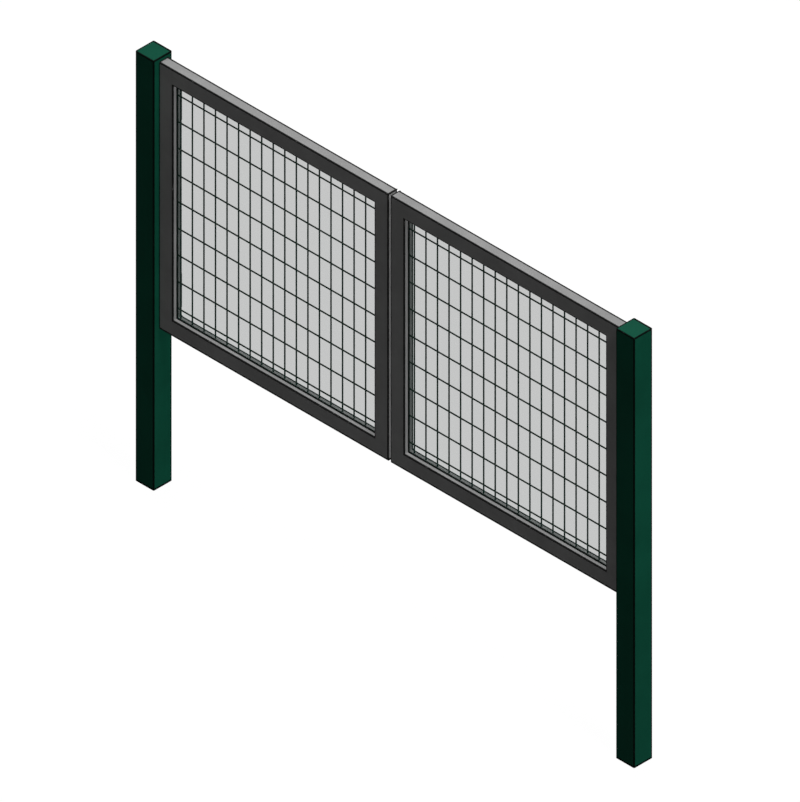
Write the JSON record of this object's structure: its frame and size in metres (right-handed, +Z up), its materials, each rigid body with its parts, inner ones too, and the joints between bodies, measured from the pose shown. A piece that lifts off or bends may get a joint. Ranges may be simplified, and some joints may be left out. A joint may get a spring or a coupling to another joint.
{
  "type": "double leaf livestock gate",
  "caption": "Double swing gate: grey tube frames with tinted sheet over welded wire mesh, hung between square green posts, with a slide latch and a drop bolt.",
  "frame": {"origin": "middle of the gateway, in the mid-plane of the posts, at the level of the buried feet of the posts", "axes": "+X along the gate towards the right-hand post as seen from the front, +Y to the rear (the side the leaves open to and the hinges are on), +Z up"},
  "size_m": [2.16, 0.1089, 1.61],
  "materials": {
    "post_green": "moss green powder coat, satin",
    "frame_grey": "mid grey powder coat, satin",
    "mesh_wire": "very dark green plastic-coated wire",
    "infill_tint": "see-through, tinted grey-green",
    "edging_rubber": "matt black",
    "hinge_steel": "mid grey powder coat over welded plate",
    "pin_steel": "bright zinc plate",
    "washer_brass": "dull, greased",
    "screw_steel": "zinc plate",
    "fitting_steel": "mid grey powder coat",
    "bolt_steel": "zinc plate with sliding wear"
  },
  "bodies": {
    "posts": {"left_post": "post_green", "right_post": "post_green", "left_post_cap": "post_green", "right_post_cap": "post_green", "left_lower_post_hinge": "hinge_steel", "left_upper_post_hinge": "hinge_steel", "right_lower_post_hinge": "hinge_steel", "right_upper_post_hinge": "hinge_steel", "left_lower_hinge_pin": "pin_steel", "left_upper_hinge_pin": "pin_steel", "right_lower_hinge_pin": "pin_steel", "right_upper_hinge_pin": "pin_steel", "left_lower_cotter": "pin_steel", "left_upper_cotter": "pin_steel", "right_lower_cotter": "pin_steel", "right_upper_cotter": "pin_steel", "left_lower_thrust_washer": "washer_brass", "left_upper_thrust_washer": "washer_brass", "right_lower_thrust_washer": "washer_brass", "right_upper_thrust_washer": "washer_brass", "left_post_screws": "screw_steel", "right_post_screws": "screw_steel"},
    "left_leaf": {"left_hinge_stile": "frame_grey", "left_meeting_stile": "frame_grey", "left_top_rail": "frame_grey", "left_bottom_rail": "frame_grey", "left_mesh_uprights": "mesh_wire", "left_mesh_levels": "mesh_wire", "left_infill_sheet": "infill_tint", "left_sheet_edging": "edging_rubber", "left_lower_leaf_hinge": "hinge_steel", "left_upper_leaf_hinge": "hinge_steel", "left_leaf_screws": "screw_steel", "latch_plate": "fitting_steel", "latch_screws": "screw_steel"},
    "right_leaf": {"right_hinge_stile": "frame_grey", "right_meeting_stile": "frame_grey", "right_top_rail": "frame_grey", "right_bottom_rail": "frame_grey", "right_mesh_uprights": "mesh_wire", "right_mesh_levels": "mesh_wire", "right_infill_sheet": "infill_tint", "right_sheet_edging": "edging_rubber", "right_lower_leaf_hinge": "hinge_steel", "right_upper_leaf_hinge": "hinge_steel", "right_leaf_screws": "screw_steel", "latch_keeper": "fitting_steel", "keeper_screws": "screw_steel", "drop_guide_lower": "fitting_steel", "drop_guide_upper": "fitting_steel", "drop_guide_screws": "screw_steel"},
    "slide_latch": {"latch_bolt": "bolt_steel"},
    "drop_bolt_rod": {"drop_bolt": "bolt_steel"}
  },
  "joints": [
    {"name": "left_leaf_swing", "type": "hinge", "parent": "posts", "child": "left_leaf", "pos_m": [-0.98, 0.038, 1.1], "axis": [0, 0, 1], "range_deg": [0, 110]},
    {"name": "right_leaf_swing", "type": "hinge", "parent": "posts", "child": "right_leaf", "pos_m": [0.98, 0.038, 1.1], "axis": [0, 0, 1], "range_deg": [-110, 0]},
    {"name": "latch_slide", "type": "slide", "parent": "left_leaf", "child": "slide_latch", "axis": [1, 0, 0], "range_m": [0, 0.03]},
    {"name": "drop_bolt_slide", "type": "slide", "parent": "right_leaf", "child": "drop_bolt_rod", "axis": [0, 0, -1], "range_m": [0, 0.16]}
  ]
}
